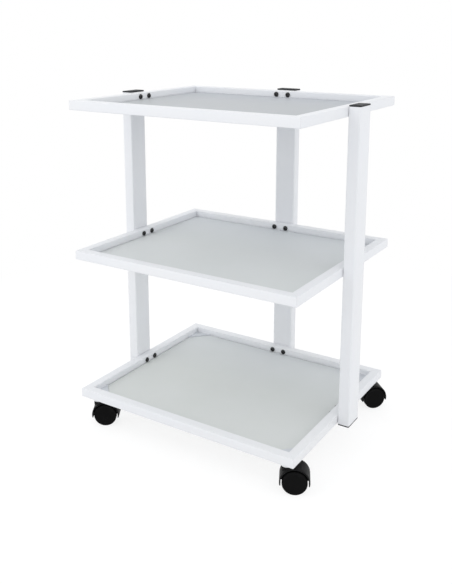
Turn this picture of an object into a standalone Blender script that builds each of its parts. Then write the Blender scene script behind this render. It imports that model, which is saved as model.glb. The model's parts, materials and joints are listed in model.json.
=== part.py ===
"""Three-shelf beauty trolley: white square-tube shelf frames with frosted glass panes, bolted
between three rectangular posts, on four hooded twin-wheel casters.

Metres, +Z up, +X along the long side, +Y to the back. The front long side carries no post.
The origin is on the floor, under the middle of the whole trolley.
"""

import math

import bmesh
import bpy
from mathutils import Matrix, Vector

# Shelves
SHELF_LENGTH = 0.530
SHELF_DEPTH = 0.445
SHELF_PITCH = 0.320
RAIL_UNDERSIDE = 0.065
RAIL_SIZE = 0.020
RAIL_WALL = 0.0015
RAIL_ROUNDING = 0.0015
LEDGE_WIDTH = 0.012
LEDGE_THICKNESS = 0.0015

# Glass panes
GLASS_THICKNESS = 0.004
GLASS_EDGE_CLEARANCE = 0.0012
GLASS_BEVEL = 0.0006

# Gussets and stem sockets in the corners of the bottom frame
GUSSET_LEG = 0.042
GUSSET_THICKNESS = 0.003
GUSSET_DROP = 0.012
SOCKET_LUG_WALL = 0.0016
SOCKET_DIAMETER = 0.027

# Posts
POST_WIDTH = 0.050
POST_OUT = 0.025
POST_WALL = 0.0015
POST_ROUNDING = 0.0028
INSERT_DIAMETER = 0.009
INSERT_DEPTH = 0.008

# Post end caps
CAP_FLANGE = 0.002
CAP_ROUNDING = 0.0006
CAP_PANEL_RISE = 0.0012
CAP_PANEL_BORDER = 0.0045
CAP_PLUG_DEPTH = 0.014
CAP_PLUG_WALL = 0.0018
CAP_RIB_HEIGHT = 0.0009
CAP_RIB_THICKNESS = 0.0012
CAP_RIB_DEPTHS = (0.005, 0.0105)

# Bolts
BOLT_SPACING = 0.6 * POST_WIDTH
BOLT_DROP = 0.0083
BOLT_HEAD_DIAMETER = 0.0112
BOLT_HEAD_HEIGHT = 0.0042
BOLT_HEAD_EDGE = 0.0012
BOLT_SHANK_DIAMETER = 0.006
BOLT_SOCKET_ACROSS = 0.004
BOLT_SOCKET_DEPTH = 0.0024

# Casters, measured from the stem axis and the axle
STEM_INSET = 0.027
TRAIL = 0.015
WHEEL_DIAMETER = 0.050
WHEEL_OUTER_FACE = 0.021
WHEEL_RIM_WIDTH = 0.012
WHEEL_RIM_THICKNESS = 0.0032
WHEEL_DISC_THICKNESS = 0.0030
WHEEL_DISH = 0.0012
WHEEL_HUB_DIAMETER = 0.014
WHEEL_HOOD_GAP = 0.0024
HOOD_WALL = 0.0026
HOOD_WIDTH = 0.041
HOOD_SHOULDER = 0.0020
HOOD_TIP_DROP = 0.0055
HOOD_SEAT = 0.051
HOOD_NECK_DIAMETER = 0.024
HOOD_NECK_REACH = 0.010
WEB_THICKNESS = 0.006
WEB_BOSS_DIAMETER = 0.015
WEB_SIDE_ANGLE = -8
WEB_BOSS_ANGLE = 70
STEM_BOSS_DIAMETER = 0.016
STEM_LOWER_DIAMETER = 0.008
STEM_LOWER_LENGTH = 0.020
STEM_GRIP_DIAMETER = 0.011
STEM_COLLAR_DIAMETER = 0.017
STEM_COLLAR_THICKNESS = 0.0016
STEM_GROOVE_DEPTH = 0.0008
STEM_GROOVE_BOTTOM = 0.006
STEM_GROOVE_TOP = 0.013
AXLE_DIAMETER = 0.008
AXLE_LENGTH = 0.030

# Clearances between separate pieces
SEAT_GAP = 0.0003
BORE_CLEARANCE = 0.0003
HOLE_CLEARANCE = 0.0006
SWIVEL_CLEARANCE = 0.0014
# How far joined shapes run into each other, and how far a cutter stands past what it cuts
WELD_OVERLAP = 0.0007
CUT_MARGIN = 0.004

# Heading of each caster: the way its wheels trail behind its stem, in degrees from +X
CASTERS = {
    "front_left": (-1, -1, 32),
    "front_right": (1, -1, 27),
    "back_right": (1, 1, 44),
    "back_left": (-1, 1, 38),
}
SHELVES = ("bottom", "middle", "top")
# Each post: the side it stands on, as a direction from the middle of the shelf
POSTS = {"left": (-1, 0), "back": (0, 1), "right": (1, 0)}

ROUND_STEPS = {"wheel": 20, "bolt": 10, "stem": 10, "hole": 8, "hood": 14, "socket": 18}

# Derived sizes
CENTRE_Y = -(POST_OUT + SEAT_GAP) / 2
POST_BOTTOM = RAIL_UNDERSIDE
POST_TOP = RAIL_UNDERSIDE + RAIL_SIZE + SHELF_PITCH * (len(SHELVES) - 1)
POST_HEIGHT = POST_TOP - POST_BOTTOM
OPENING_LENGTH = SHELF_LENGTH - 2 * RAIL_SIZE
OPENING_DEPTH = SHELF_DEPTH - 2 * RAIL_SIZE
GLASS_BOTTOM = LEDGE_THICKNESS + SEAT_GAP
WHEEL_RADIUS = WHEEL_DIAMETER / 2
HOOD_INNER_RADIUS = WHEEL_RADIUS + WHEEL_HOOD_GAP
HOOD_RADIUS = HOOD_INNER_RADIUS + HOOD_WALL
COLLAR_BOTTOM = HOOD_SEAT + SEAT_GAP
SOCKET_BOTTOM = COLLAR_BOTTOM + STEM_COLLAR_THICKNESS + SEAT_GAP
GUSSET_TOP = RAIL_UNDERSIDE + RAIL_SIZE - GUSSET_DROP
GUSSET_BOTTOM = GUSSET_TOP - GUSSET_THICKNESS


def clear_scene():
    for obj in list(bpy.data.objects):
        bpy.data.objects.remove(obj, do_unlink=True)


def make_collection(name):
    collection = bpy.data.collections.new(name)
    bpy.context.scene.collection.children.link(collection)
    return collection


def make_material(name, colour, roughness, metallic=0.0, transmission=0.0):
    material = bpy.data.materials.new(name)
    material.use_nodes = True
    shader = material.node_tree.nodes["Principled BSDF"]
    shader.inputs["Base Color"].default_value = (*colour, 1.0)
    shader.inputs["Roughness"].default_value = roughness
    shader.inputs["Metallic"].default_value = metallic
    shader.inputs["Transmission Weight"].default_value = transmission
    material.diffuse_color = (*colour, 1.0)
    return material


def helper(name, mesh):
    """A cutter or a pattern: an object that shapes the parts and isn't one of them."""
    obj = bpy.data.objects.new(name, mesh)
    cutters.objects.link(obj)
    obj.hide_render = True
    obj.display_type = "WIRE"
    return obj


def helper_from(name, bm):
    bmesh.ops.recalc_face_normals(bm, faces=bm.faces)
    mesh = bpy.data.meshes.new(name)
    bm.to_mesh(mesh)
    bm.free()
    return helper(name, mesh)


def finished_mesh(pattern, material):
    """The mesh that a pattern's modifiers make, for every copy of that piece."""
    bpy.context.view_layer.update()
    evaluated = pattern.evaluated_get(bpy.context.evaluated_depsgraph_get())
    mesh = bpy.data.meshes.new_from_object(evaluated)
    mesh.name = pattern.name
    mesh.materials.clear()
    mesh.materials.append(material)
    mesh.shade_smooth()
    mesh.set_sharp_from_angle(angle=math.radians(35))
    return mesh


def make_part(name, mesh, parent, location=(0, 0, 0), turn=(0, 0, 0)):
    obj = bpy.data.objects.new(name, mesh)
    parts.objects.link(obj)
    obj.parent = parent
    obj.location = location
    obj.rotation_euler = turn
    return obj


def make_empty(name, parent, location=(0, 0, 0), turn=(0, 0, 0)):
    empty = make_part(name, None, parent, location, turn)
    empty.empty_display_size = 0.03
    return empty


def add_box(bm, size, centre=(0, 0, 0)):
    placed = Matrix.Translation(centre) @ Matrix.Diagonal((*size, 1.0))
    return bmesh.ops.create_cube(bm, size=1.0, matrix=placed)["verts"]


def add_cylinder(bm, diameter, depth, centre, axis="Z", steps=16):
    turns = {"X": Matrix.Rotation(math.pi / 2, 4, "Y"), "Y": Matrix.Rotation(math.pi / 2, 4, "X")}
    placed = Matrix.Translation(centre) @ turns.get(axis, Matrix.Identity(4))
    bmesh.ops.create_cone(
        bm,
        cap_ends=True,
        segments=steps,
        radius1=diameter / 2,
        radius2=diameter / 2,
        depth=depth,
        matrix=placed,
    )


def round_upright_edges(bm, radius, segments=3):
    upright = [
        edge for edge in bm.edges
        if abs(edge.verts[0].co.x - edge.verts[1].co.x) < 1e-6
        and abs(edge.verts[0].co.y - edge.verts[1].co.y) < 1e-6
    ]
    bmesh.ops.bevel(bm, geom=upright, offset=radius, segments=segments, profile=0.5, affect="EDGES")


def flat_plate(name, outline, thickness):
    """A flat outline in XY, filled and extruded upwards from z = 0, as a mesh."""
    curve = bpy.data.curves.new(name, "CURVE")
    curve.dimensions = "2D"
    curve.fill_mode = "BOTH"
    curve.extrude = thickness / 2
    spline = curve.splines.new("POLY")
    spline.points.add(len(outline) - 1)
    for point, (x, y) in zip(spline.points, outline):
        point.co = (x, y, 0, 1)
    spline.use_cyclic_u = True
    guide = helper(name + "_outline", curve)
    bpy.context.view_layer.update()
    evaluated = guide.evaluated_get(bpy.context.evaluated_depsgraph_get())
    mesh = bpy.data.meshes.new_from_object(evaluated)
    bm = bmesh.new()
    bm.from_mesh(mesh)
    bmesh.ops.remove_doubles(bm, verts=bm.verts, dist=1e-5)
    bmesh.ops.translate(bm, verts=bm.verts, vec=(0, 0, thickness / 2))
    bpy.data.objects.remove(guide, do_unlink=True)
    return helper_from(name, bm)


def turned(name, profile, steps):
    """Turns a profile of (radius, height) points, given from top to bottom, round the Z axis."""
    mesh = bpy.data.meshes.new(name)
    points = [(radius, 0, height) for radius, height in profile]
    mesh.from_pydata(points, [(i, i + 1) for i in range(len(points) - 1)], [])
    obj = helper(name, mesh)
    screw = obj.modifiers.new("Turn", "SCREW")
    screw.axis = "Z"
    screw.steps = steps
    screw.render_steps = steps
    screw.use_merge_vertices = True
    screw.merge_threshold = 0.00001
    return obj


def add_boolean(obj, other, operation):
    modifier = obj.modifiers.new(operation.title() + " " + other.name, "BOOLEAN")
    modifier.operation = operation
    modifier.object = other
    modifier.solver = "EXACT"


def add_bevel(obj, width, segments=2):
    modifier = obj.modifiers.new("Rounded edges", "BEVEL")
    modifier.width = width
    modifier.segments = segments
    modifier.limit_method = "ANGLE"
    modifier.angle_limit = math.radians(40)


def bolt_places():
    """Each bolt of a shelf: its name, its way out of the shelf, and where it enters the rail."""
    for post, (x_way, y_way) in POSTS.items():
        for number, along in ((1, -BOLT_SPACING / 2), (2, BOLT_SPACING / 2)):
            x = x_way * OPENING_LENGTH / 2 + abs(y_way) * along
            y = y_way * OPENING_DEPTH / 2 + abs(x_way) * along
            yield f"{post}_bolt_{number}", (x_way, y_way), Vector((x, y, RAIL_SIZE - BOLT_DROP))


def ring_cutter(name, outer, inner, height, z):
    """A closed rectangular ring, as a cutter: outer and inner are (length, depth)."""
    bm = bmesh.new()
    add_box(bm, (*outer, height), (0, 0, z))
    ring = helper_from(name, bm)
    bm = bmesh.new()
    add_box(bm, (*inner, height + 2 * CUT_MARGIN), (0, 0, z))
    add_boolean(ring, helper_from(name + "_inside", bm), "DIFFERENCE")
    return ring


def shelf_cutters():
    """The shapes that all three frames are joined with or cut by."""
    bm = bmesh.new()
    add_box(bm, (OPENING_LENGTH, OPENING_DEPTH, RAIL_SIZE + 2 * CUT_MARGIN), (0, 0, RAIL_SIZE / 2))
    opening = helper_from("frame_opening", bm)
    ledge = ring_cutter(
        "glass_ledge",
        (OPENING_LENGTH + 2 * WELD_OVERLAP, OPENING_DEPTH + 2 * WELD_OVERLAP),
        (OPENING_LENGTH - 2 * LEDGE_WIDTH, OPENING_DEPTH - 2 * LEDGE_WIDTH),
        LEDGE_THICKNESS,
        LEDGE_THICKNESS / 2,
    )
    cavity = ring_cutter(
        "tube_cavity",
        (SHELF_LENGTH - 2 * RAIL_WALL, SHELF_DEPTH - 2 * RAIL_WALL),
        (OPENING_LENGTH + 2 * RAIL_WALL, OPENING_DEPTH + 2 * RAIL_WALL),
        RAIL_SIZE - 2 * RAIL_WALL,
        RAIL_SIZE / 2,
    )
    bm = bmesh.new()
    for _, (x_way, y_way), start in bolt_places():
        middle = start + Vector((x_way, y_way, 0)) * RAIL_SIZE / 2
        add_cylinder(
            bm,
            BOLT_SHANK_DIAMETER + 2 * HOLE_CLEARANCE,
            RAIL_SIZE + 2 * CUT_MARGIN,
            middle,
            "X" if x_way else "Y",
            ROUND_STEPS["hole"],
        )
    return opening, ledge, cavity, helper_from("rail_bolt_holes", bm)


def frame_pattern(name, shared):
    """A shelf frame with its underside at z = 0."""
    opening, ledge, cavity, holes = shared
    bm = bmesh.new()
    add_box(bm, (SHELF_LENGTH, SHELF_DEPTH, RAIL_SIZE), (0, 0, RAIL_SIZE / 2))
    frame = helper_from(name, bm)
    add_boolean(frame, opening, "DIFFERENCE")
    add_bevel(frame, RAIL_ROUNDING)
    add_boolean(frame, ledge, "UNION")
    add_boolean(frame, cavity, "DIFFERENCE")
    add_boolean(frame, holes, "DIFFERENCE")
    return frame


def gusset_outline(x_sign, y_sign):
    """The gusset's corner lies in the rails' walls, and its free edge runs straight across the corner."""
    x, y = OPENING_LENGTH / 2, OPENING_DEPTH / 2
    points = (
        (x + WELD_OVERLAP, y + WELD_OVERLAP),
        (x - GUSSET_LEG, y + WELD_OVERLAP),
        (x - GUSSET_LEG, y - WELD_OVERLAP),
        (x - WELD_OVERLAP, y - GUSSET_LEG),
        (x + WELD_OVERLAP, y - GUSSET_LEG),
    )
    return [(x_sign * px, y_sign * py) for px, py in points]


def stem_place(x_sign, y_sign):
    return x_sign * (SHELF_LENGTH / 2 - STEM_INSET), y_sign * (SHELF_DEPTH / 2 - STEM_INSET)


def add_caster_mounts(frame):
    """Welds a gusset, a lug under it and a round stem socket into each corner, bored for the stem."""
    lug_reach = STEM_GRIP_DIAMETER / 2 + BORE_CLEARANCE + SOCKET_LUG_WALL
    lug_top = GUSSET_BOTTOM + WELD_OVERLAP - RAIL_UNDERSIDE
    lug_bottom = LEDGE_THICKNESS / 2
    socket_top = LEDGE_THICKNESS + WELD_OVERLAP
    socket_bottom = SOCKET_BOTTOM - RAIL_UNDERSIDE
    bore_top = GUSSET_BOTTOM - RAIL_UNDERSIDE
    bore_depth = bore_top - socket_bottom + CUT_MARGIN
    bores = bmesh.new()
    for corner, (x_sign, y_sign, _) in CASTERS.items():
        gusset = flat_plate(f"{corner}_gusset", gusset_outline(x_sign, y_sign), GUSSET_THICKNESS)
        gusset.location.z = GUSSET_BOTTOM - RAIL_UNDERSIDE
        x, y = stem_place(x_sign, y_sign)
        weld_x = x_sign * (OPENING_LENGTH / 2 + WELD_OVERLAP)
        weld_y = y_sign * (OPENING_DEPTH / 2 + WELD_OVERLAP)
        free_x, free_y = x - x_sign * lug_reach, y - y_sign * lug_reach
        lug = bmesh.new()
        add_box(
            lug,
            (abs(weld_x - free_x), abs(weld_y - free_y), lug_top - lug_bottom),
            ((weld_x + free_x) / 2, (weld_y + free_y) / 2, (lug_top + lug_bottom) / 2),
        )
        socket = bmesh.new()
        add_cylinder(
            socket,
            SOCKET_DIAMETER,
            socket_top - socket_bottom,
            (x, y, (socket_top + socket_bottom) / 2),
            steps=ROUND_STEPS["socket"],
        )
        add_boolean(frame, gusset, "UNION")
        add_boolean(frame, helper_from(f"{corner}_lug", lug), "UNION")
        add_boolean(frame, helper_from(f"{corner}_socket", socket), "UNION")
        add_cylinder(
            bores,
            STEM_GRIP_DIAMETER + 2 * BORE_CLEARANCE,
            bore_depth,
            (x, y, bore_top - bore_depth / 2),
            steps=ROUND_STEPS["stem"],
        )
    add_boolean(frame, helper_from("socket_bores", bores), "DIFFERENCE")


def glass_outline(clip):
    x = OPENING_LENGTH / 2 - GLASS_EDGE_CLEARANCE
    y = OPENING_DEPTH / 2 - GLASS_EDGE_CLEARANCE
    if not clip:
        return [(-x, -y), (x, -y), (x, y), (-x, y)]
    return [
        (-x + clip, -y), (x - clip, -y), (x, -y + clip), (x, y - clip),
        (x - clip, y), (-x + clip, y), (-x, y - clip), (-x, -y + clip),
    ]


def glass_pattern(name, clip):
    """A pane with its underside at z = 0."""
    glass = flat_plate(name, glass_outline(clip), GLASS_THICKNESS)
    add_bevel(glass, GLASS_BEVEL, 1)
    return glass


def post_pattern():
    """A post: X across its width, Y outwards, with its inner face at Y = 0 and its foot at z = 0."""
    bm = bmesh.new()
    add_box(bm, (POST_WIDTH, POST_OUT, POST_HEIGHT), (0, POST_OUT / 2, POST_HEIGHT / 2))
    round_upright_edges(bm, POST_ROUNDING)
    post = helper_from("post", bm)

    bm = bmesh.new()
    inside = (POST_WIDTH - 2 * POST_WALL, POST_OUT - 2 * POST_WALL, POST_HEIGHT + 2 * CUT_MARGIN)
    add_box(bm, inside, (0, POST_OUT / 2, POST_HEIGHT / 2))
    round_upright_edges(bm, POST_ROUNDING - POST_WALL, 2)
    hollow = helper_from("post_hollow", bm)

    inserts, holes = bmesh.new(), bmesh.new()
    for shelf in range(len(SHELVES)):
        z = shelf * SHELF_PITCH + RAIL_SIZE - BOLT_DROP
        for x in (-BOLT_SPACING / 2, BOLT_SPACING / 2):
            add_cylinder(
                inserts, INSERT_DIAMETER, INSERT_DEPTH,
                (x, INSERT_DEPTH / 2 + POST_WALL / 2, z), "Y", ROUND_STEPS["hole"],
            )
            add_cylinder(
                holes, BOLT_SHANK_DIAMETER + 2 * HOLE_CLEARANCE, 2 * (INSERT_DEPTH + CUT_MARGIN),
                (x, 0, z), "Y", ROUND_STEPS["hole"],
            )
    add_boolean(post, hollow, "DIFFERENCE")
    add_boolean(post, helper_from("thread_inserts", inserts), "UNION")
    add_boolean(post, helper_from("post_bolt_holes", holes), "DIFFERENCE")
    return post


def cap_pattern():
    """An end cap, top up, over a tube end at z = 0: a flange on the end and a ribbed plug in it."""
    bm = bmesh.new()
    add_box(bm, (POST_WIDTH, POST_OUT, CAP_FLANGE), (0, 0, CAP_FLANGE / 2 + SEAT_GAP))
    round_upright_edges(bm, POST_ROUNDING)
    cap = helper_from("post_cap", bm)
    add_bevel(cap, CAP_ROUNDING, 1)

    panel = bmesh.new()
    rise = CAP_PANEL_RISE + WELD_OVERLAP
    corners = add_box(
        panel,
        (POST_WIDTH - 2 * CAP_PANEL_BORDER, POST_OUT - 2 * CAP_PANEL_BORDER, rise),
        (0, 0, SEAT_GAP + CAP_FLANGE - WELD_OVERLAP + rise / 2),
    )
    for corner in corners:
        if corner.co.z > SEAT_GAP + CAP_FLANGE:
            corner.co.x -= math.copysign(CAP_PANEL_RISE, corner.co.x)
            corner.co.y -= math.copysign(CAP_PANEL_RISE, corner.co.y)
    add_boolean(cap, helper_from("cap_panel", panel), "UNION")

    room = POST_WALL + BORE_CLEARANCE
    length, width = POST_WIDTH - 2 * room, POST_OUT - 2 * room
    body = (length - 2 * CAP_RIB_HEIGHT, width - 2 * CAP_RIB_HEIGHT)
    plug = bmesh.new()
    add_box(
        plug,
        (*body, CAP_PLUG_DEPTH + WELD_OVERLAP),
        (0, 0, SEAT_GAP + (WELD_OVERLAP - CAP_PLUG_DEPTH) / 2),
    )
    add_boolean(cap, helper_from("cap_plug", plug), "UNION")
    ribs = bmesh.new()
    for rib_depth in CAP_RIB_DEPTHS:
        add_box(ribs, (length, width, CAP_RIB_THICKNESS), (0, 0, SEAT_GAP - rib_depth))
    round_upright_edges(ribs, POST_ROUNDING - POST_WALL, 1)
    add_boolean(cap, helper_from("cap_ribs", ribs), "UNION")
    hollow = bmesh.new()
    inside = (body[0] - 2 * CAP_PLUG_WALL, body[1] - 2 * CAP_PLUG_WALL, CAP_PLUG_DEPTH + CUT_MARGIN)
    add_box(hollow, inside, (0, 0, SEAT_GAP - (CAP_PLUG_DEPTH + CUT_MARGIN) / 2))
    add_boolean(cap, helper_from("cap_plug_hollow", hollow), "DIFFERENCE")

    # The plug is cut away where the thread inserts nearest to the end of the tube stand
    nearest = min(BOLT_DROP, RAIL_SIZE - BOLT_DROP) - INSERT_DIAMETER / 2
    room_top = HOLE_CLEARANCE - nearest
    room_height = CAP_PLUG_DEPTH + CUT_MARGIN
    room_width = POST_WALL / 2 + INSERT_DEPTH + HOLE_CLEARANCE
    insert_room = bmesh.new()
    add_box(
        insert_room,
        (POST_WIDTH, room_width + CUT_MARGIN, room_height),
        (0, (room_width - CUT_MARGIN - POST_OUT) / 2, room_top - room_height / 2),
    )
    add_boolean(cap, helper_from("cap_insert_room", insert_room), "DIFFERENCE")
    return cap


def bolt_profile():
    """Half outline of a button-head bolt, head up, with the underside of its head at height 0."""
    head, shank = BOLT_HEAD_DIAMETER / 2, BOLT_SHANK_DIAMETER / 2
    length = RAIL_SIZE + SEAT_GAP + POST_WALL / 2 + INSERT_DEPTH
    rise = BOLT_HEAD_HEIGHT - BOLT_HEAD_EDGE
    slope = math.sqrt(0.5)
    return [
        (0, BOLT_HEAD_HEIGHT),
        (head * slope, BOLT_HEAD_EDGE + rise * slope),
        (head, BOLT_HEAD_EDGE),
        (head, 0),
        (shank, 0),
        (shank, -length),
        (0, -length),
    ]


def bolt_pattern():
    bolt = turned("bolt", bolt_profile(), ROUND_STEPS["bolt"])
    bm = bmesh.new()
    across_corners = BOLT_SOCKET_ACROSS / math.cos(math.pi / 6)
    depth = BOLT_SOCKET_DEPTH + CUT_MARGIN
    middle = BOLT_HEAD_HEIGHT - BOLT_SOCKET_DEPTH + depth / 2
    add_cylinder(bm, across_corners, depth, (0, 0, middle), steps=6)
    add_boolean(bolt, helper_from("bolt_hex_socket", bm), "DIFFERENCE")
    return bolt


def arc(radius, start, end, steps):
    """Points of an arc round the origin, in degrees."""
    angles = [math.radians(start + (end - start) * i / steps) for i in range(steps + 1)]
    return [(radius * math.cos(angle), radius * math.sin(angle)) for angle in angles]


def hood_shell():
    """The fender: a crowned strip swept over the wheels round the axle, then thickened inwards."""
    tip = math.asin(HOOD_TIP_DROP / HOOD_RADIUS)
    half = HOOD_WIDTH / 2
    across = (
        (-half, HOOD_RADIUS - HOOD_SHOULDER),
        (-half + HOOD_SHOULDER, HOOD_RADIUS),
        (half - HOOD_SHOULDER, HOOD_RADIUS),
        (half, HOOD_RADIUS - HOOD_SHOULDER),
    )
    bm = bmesh.new()
    verts = [bm.verts.new((r * math.cos(tip), y, -r * math.sin(tip))) for y, r in across]
    edges = [bm.edges.new(pair) for pair in zip(verts, verts[1:])]
    bmesh.ops.spin(
        bm,
        geom=verts + edges,
        cent=(0, 0, 0),
        axis=(0, -1, 0),
        angle=math.pi + 2 * tip,
        steps=ROUND_STEPS["hood"],
    )
    shell = helper_from("caster_hood", bm)
    solidify = shell.modifiers.new("Wall", "SOLIDIFY")
    solidify.thickness = HOOD_WALL
    solidify.offset = -1
    solidify.use_even_offset = True
    return shell


def web_outline():
    """Side view of the plate between the wheels: up to the fender, and down round the axle boss."""
    reach = HOOD_INNER_RADIUS + HOOD_WALL / 2
    upper = arc(reach, WEB_SIDE_ANGLE, 180 - WEB_SIDE_ANGLE, ROUND_STEPS["hood"])
    lower = arc(WEB_BOSS_DIAMETER / 2, 270 - WEB_BOSS_ANGLE, 270 + WEB_BOSS_ANGLE, 6)
    return upper + lower


def hood_pattern():
    """A hood about its axle: the fender, the web between the wheels, and the seat and bore of the stem."""
    hood = hood_shell()
    seat = HOOD_SEAT - WHEEL_RADIUS
    web = flat_plate("hood_web", web_outline(), WEB_THICKNESS)
    web.rotation_euler = (math.pi / 2, 0, 0)
    web.location = (0, WEB_THICKNESS / 2, 0)

    bm = bmesh.new()
    neck_bottom = math.sqrt(HOOD_RADIUS**2 - TRAIL**2) - HOOD_NECK_REACH
    add_cylinder(
        bm, HOOD_NECK_DIAMETER, seat - neck_bottom,
        (-TRAIL, 0, (seat + neck_bottom) / 2), steps=ROUND_STEPS["wheel"],
    )
    neck = helper_from("hood_neck", bm)
    bm = bmesh.new()
    # The wheels' room is a little smaller than the fender, so that its wall and the neck's run together
    for side in (-1, 1):
        add_cylinder(
            bm, 2 * (HOOD_INNER_RADIUS - WELD_OVERLAP / 2), HOOD_WIDTH,
            (0, side * (STEM_BOSS_DIAMETER + HOOD_WIDTH) / 2, 0), "Y", ROUND_STEPS["hood"] * 2,
        )
    add_boolean(neck, helper_from("hood_wheel_room", bm), "DIFFERENCE")

    bm = bmesh.new()
    boss_bottom = seat - STEM_LOWER_LENGTH - SEAT_GAP - HOOD_WALL
    add_cylinder(
        bm, STEM_BOSS_DIAMETER, seat - WELD_OVERLAP - boss_bottom,
        (-TRAIL, 0, (seat - WELD_OVERLAP + boss_bottom) / 2), steps=ROUND_STEPS["stem"],
    )
    stem_boss = helper_from("hood_stem_boss", bm)

    bm = bmesh.new()
    seat_room = HOOD_RADIUS
    add_cylinder(
        bm, SOCKET_DIAMETER + 2 * SWIVEL_CLEARANCE, seat_room,
        (-TRAIL, 0, seat + seat_room / 2), steps=ROUND_STEPS["wheel"],
    )
    seat_cut = helper_from("hood_seat", bm)

    bm = bmesh.new()
    depth = STEM_LOWER_LENGTH + SEAT_GAP
    add_cylinder(
        bm, STEM_LOWER_DIAMETER + 2 * BORE_CLEARANCE, depth + CUT_MARGIN,
        (-TRAIL, 0, seat + (CUT_MARGIN - depth) / 2), steps=ROUND_STEPS["stem"],
    )
    stem_bore = helper_from("hood_stem_bore", bm)
    bm = bmesh.new()
    add_cylinder(
        bm, AXLE_DIAMETER + 2 * BORE_CLEARANCE, WEB_THICKNESS + 2 * CUT_MARGIN,
        (0, 0, 0), "Y", ROUND_STEPS["stem"],
    )
    axle_bore = helper_from("hood_axle_bore", bm)
    for shape in (web, neck, stem_boss):
        add_boolean(hood, shape, "UNION")
    for shape in (seat_cut, stem_bore, axle_bore):
        add_boolean(hood, shape, "DIFFERENCE")
    return hood


def wheel_profile():
    """Half outline of a wheel, outer face up, from the middle of that face to its blind bore."""
    face, rim = WHEEL_OUTER_FACE, WHEEL_OUTER_FACE - WHEEL_RIM_WIDTH
    outer, inner = WHEEL_RADIUS, WHEEL_RADIUS - WHEEL_RIM_THICKNESS
    floor = face - WHEEL_DISH
    cup = floor - WHEEL_DISC_THICKNESS
    hub, bore = WHEEL_HUB_DIAMETER / 2, AXLE_DIAMETER / 2 + BORE_CLEARANCE
    hub_end = WEB_THICKNESS / 2 + SEAT_GAP
    corner = WHEEL_RIM_THICKNESS / 3
    return [
        (0, floor),
        (inner - corner * 2, floor),
        (inner, face),
        (outer - corner, face),
        (outer, face - corner),
        (outer, rim),
        (inner, rim),
        (inner, cup),
        (hub, cup),
        (hub, hub_end),
        (bore, hub_end),
        (bore, AXLE_LENGTH / 2 + SEAT_GAP),
        (0, AXLE_LENGTH / 2 + SEAT_GAP),
    ]


def stem_profile():
    """Half outline of the stem from its top down, with height 0 at the underside of its collar."""
    grip, collar, lower = STEM_GRIP_DIAMETER / 2, STEM_COLLAR_DIAMETER / 2, STEM_LOWER_DIAMETER / 2
    top = GUSSET_BOTTOM - COLLAR_BOTTOM - SEAT_GAP
    chamfer = grip / 5
    groove = grip - STEM_GROOVE_DEPTH
    return [
        (0, top),
        (grip - chamfer, top),
        (grip, top - chamfer),
        (grip, STEM_GROOVE_TOP),
        (groove, STEM_GROOVE_TOP - STEM_GROOVE_DEPTH),
        (groove, STEM_GROOVE_BOTTOM + STEM_GROOVE_DEPTH),
        (grip, STEM_GROOVE_BOTTOM),
        (grip, STEM_COLLAR_THICKNESS),
        (collar, STEM_COLLAR_THICKNESS),
        (collar, 0),
        (lower, 0),
        (lower, -STEM_LOWER_LENGTH + chamfer),
        (lower - chamfer, -STEM_LOWER_LENGTH),
        (0, -STEM_LOWER_LENGTH),
    ]


def axle_profile():
    radius, half = AXLE_DIAMETER / 2, AXLE_LENGTH / 2
    chamfer = radius / 5
    return [(0, half), (radius - chamfer, half), (radius, half - chamfer),
            (radius, chamfer - half), (radius - chamfer, -half), (0, -half)]


def make_caster(corner, parent, meshes):
    """The stem stays with the frame. The hood swivels about it, and each wheel turns on the axle."""
    x_sign, y_sign, heading = CASTERS[corner]
    x, y = stem_place(x_sign, y_sign)
    make_part(f"{corner}_caster_stem", meshes["stem"], parent, (x, y, COLLAR_BOTTOM))
    swivel = make_empty(f"{corner}_swivel", parent, (x, y, 0), (0, 0, math.radians(heading)))
    # The wheels trail along the swivel's +X
    axle_centre = make_empty(f"{corner}_axle_centre", swivel, (TRAIL, 0, WHEEL_RADIUS))
    make_part(f"{corner}_caster_hood", meshes["hood"], axle_centre)
    make_part(f"{corner}_caster_axle", meshes["axle"], axle_centre, turn=(math.pi / 2, 0, 0))
    for side, tilt in (("near", math.pi / 2), ("far", -math.pi / 2)):
        make_part(f"{corner}_{side}_wheel", meshes["wheel"], axle_centre, turn=(tilt, 0, 0))


def make_shelf(shelf, level, parent, meshes):
    z = RAIL_UNDERSIDE + level * SHELF_PITCH
    frame_piece, glass_piece = ("frame", "glass") if level else ("bottom_frame", "clipped_glass")
    frame = make_part(f"{shelf}_frame", meshes[frame_piece], parent, (0, 0, z))
    make_part(f"{shelf}_glass", meshes[glass_piece], parent, (0, 0, z + GLASS_BOTTOM))
    for bolt_name, ways, start in bolt_places():
        inwards = -Vector((*ways, 0))
        turn = inwards.to_track_quat("Z", "Y").to_euler()
        make_part(f"{shelf}_{bolt_name}", meshes["bolt"], frame, start + inwards * SEAT_GAP, turn)


def make_post(side, parent, meshes):
    x_way, y_way = POSTS[side]
    out_x = x_way * (SHELF_LENGTH / 2 + SEAT_GAP)
    out_y = y_way * (SHELF_DEPTH / 2 + SEAT_GAP)
    turn = (0, 0, math.atan2(-x_way, y_way))
    post = make_part(f"{side}_post", meshes["post"], parent, (out_x, out_y, POST_BOTTOM), turn)
    make_part(f"{side}_post_top_cap", meshes["cap"], post, (0, POST_OUT / 2, POST_HEIGHT))
    make_part(f"{side}_post_bottom_cap", meshes["cap"], post, (0, POST_OUT / 2, 0), (0, math.pi, 0))


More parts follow.
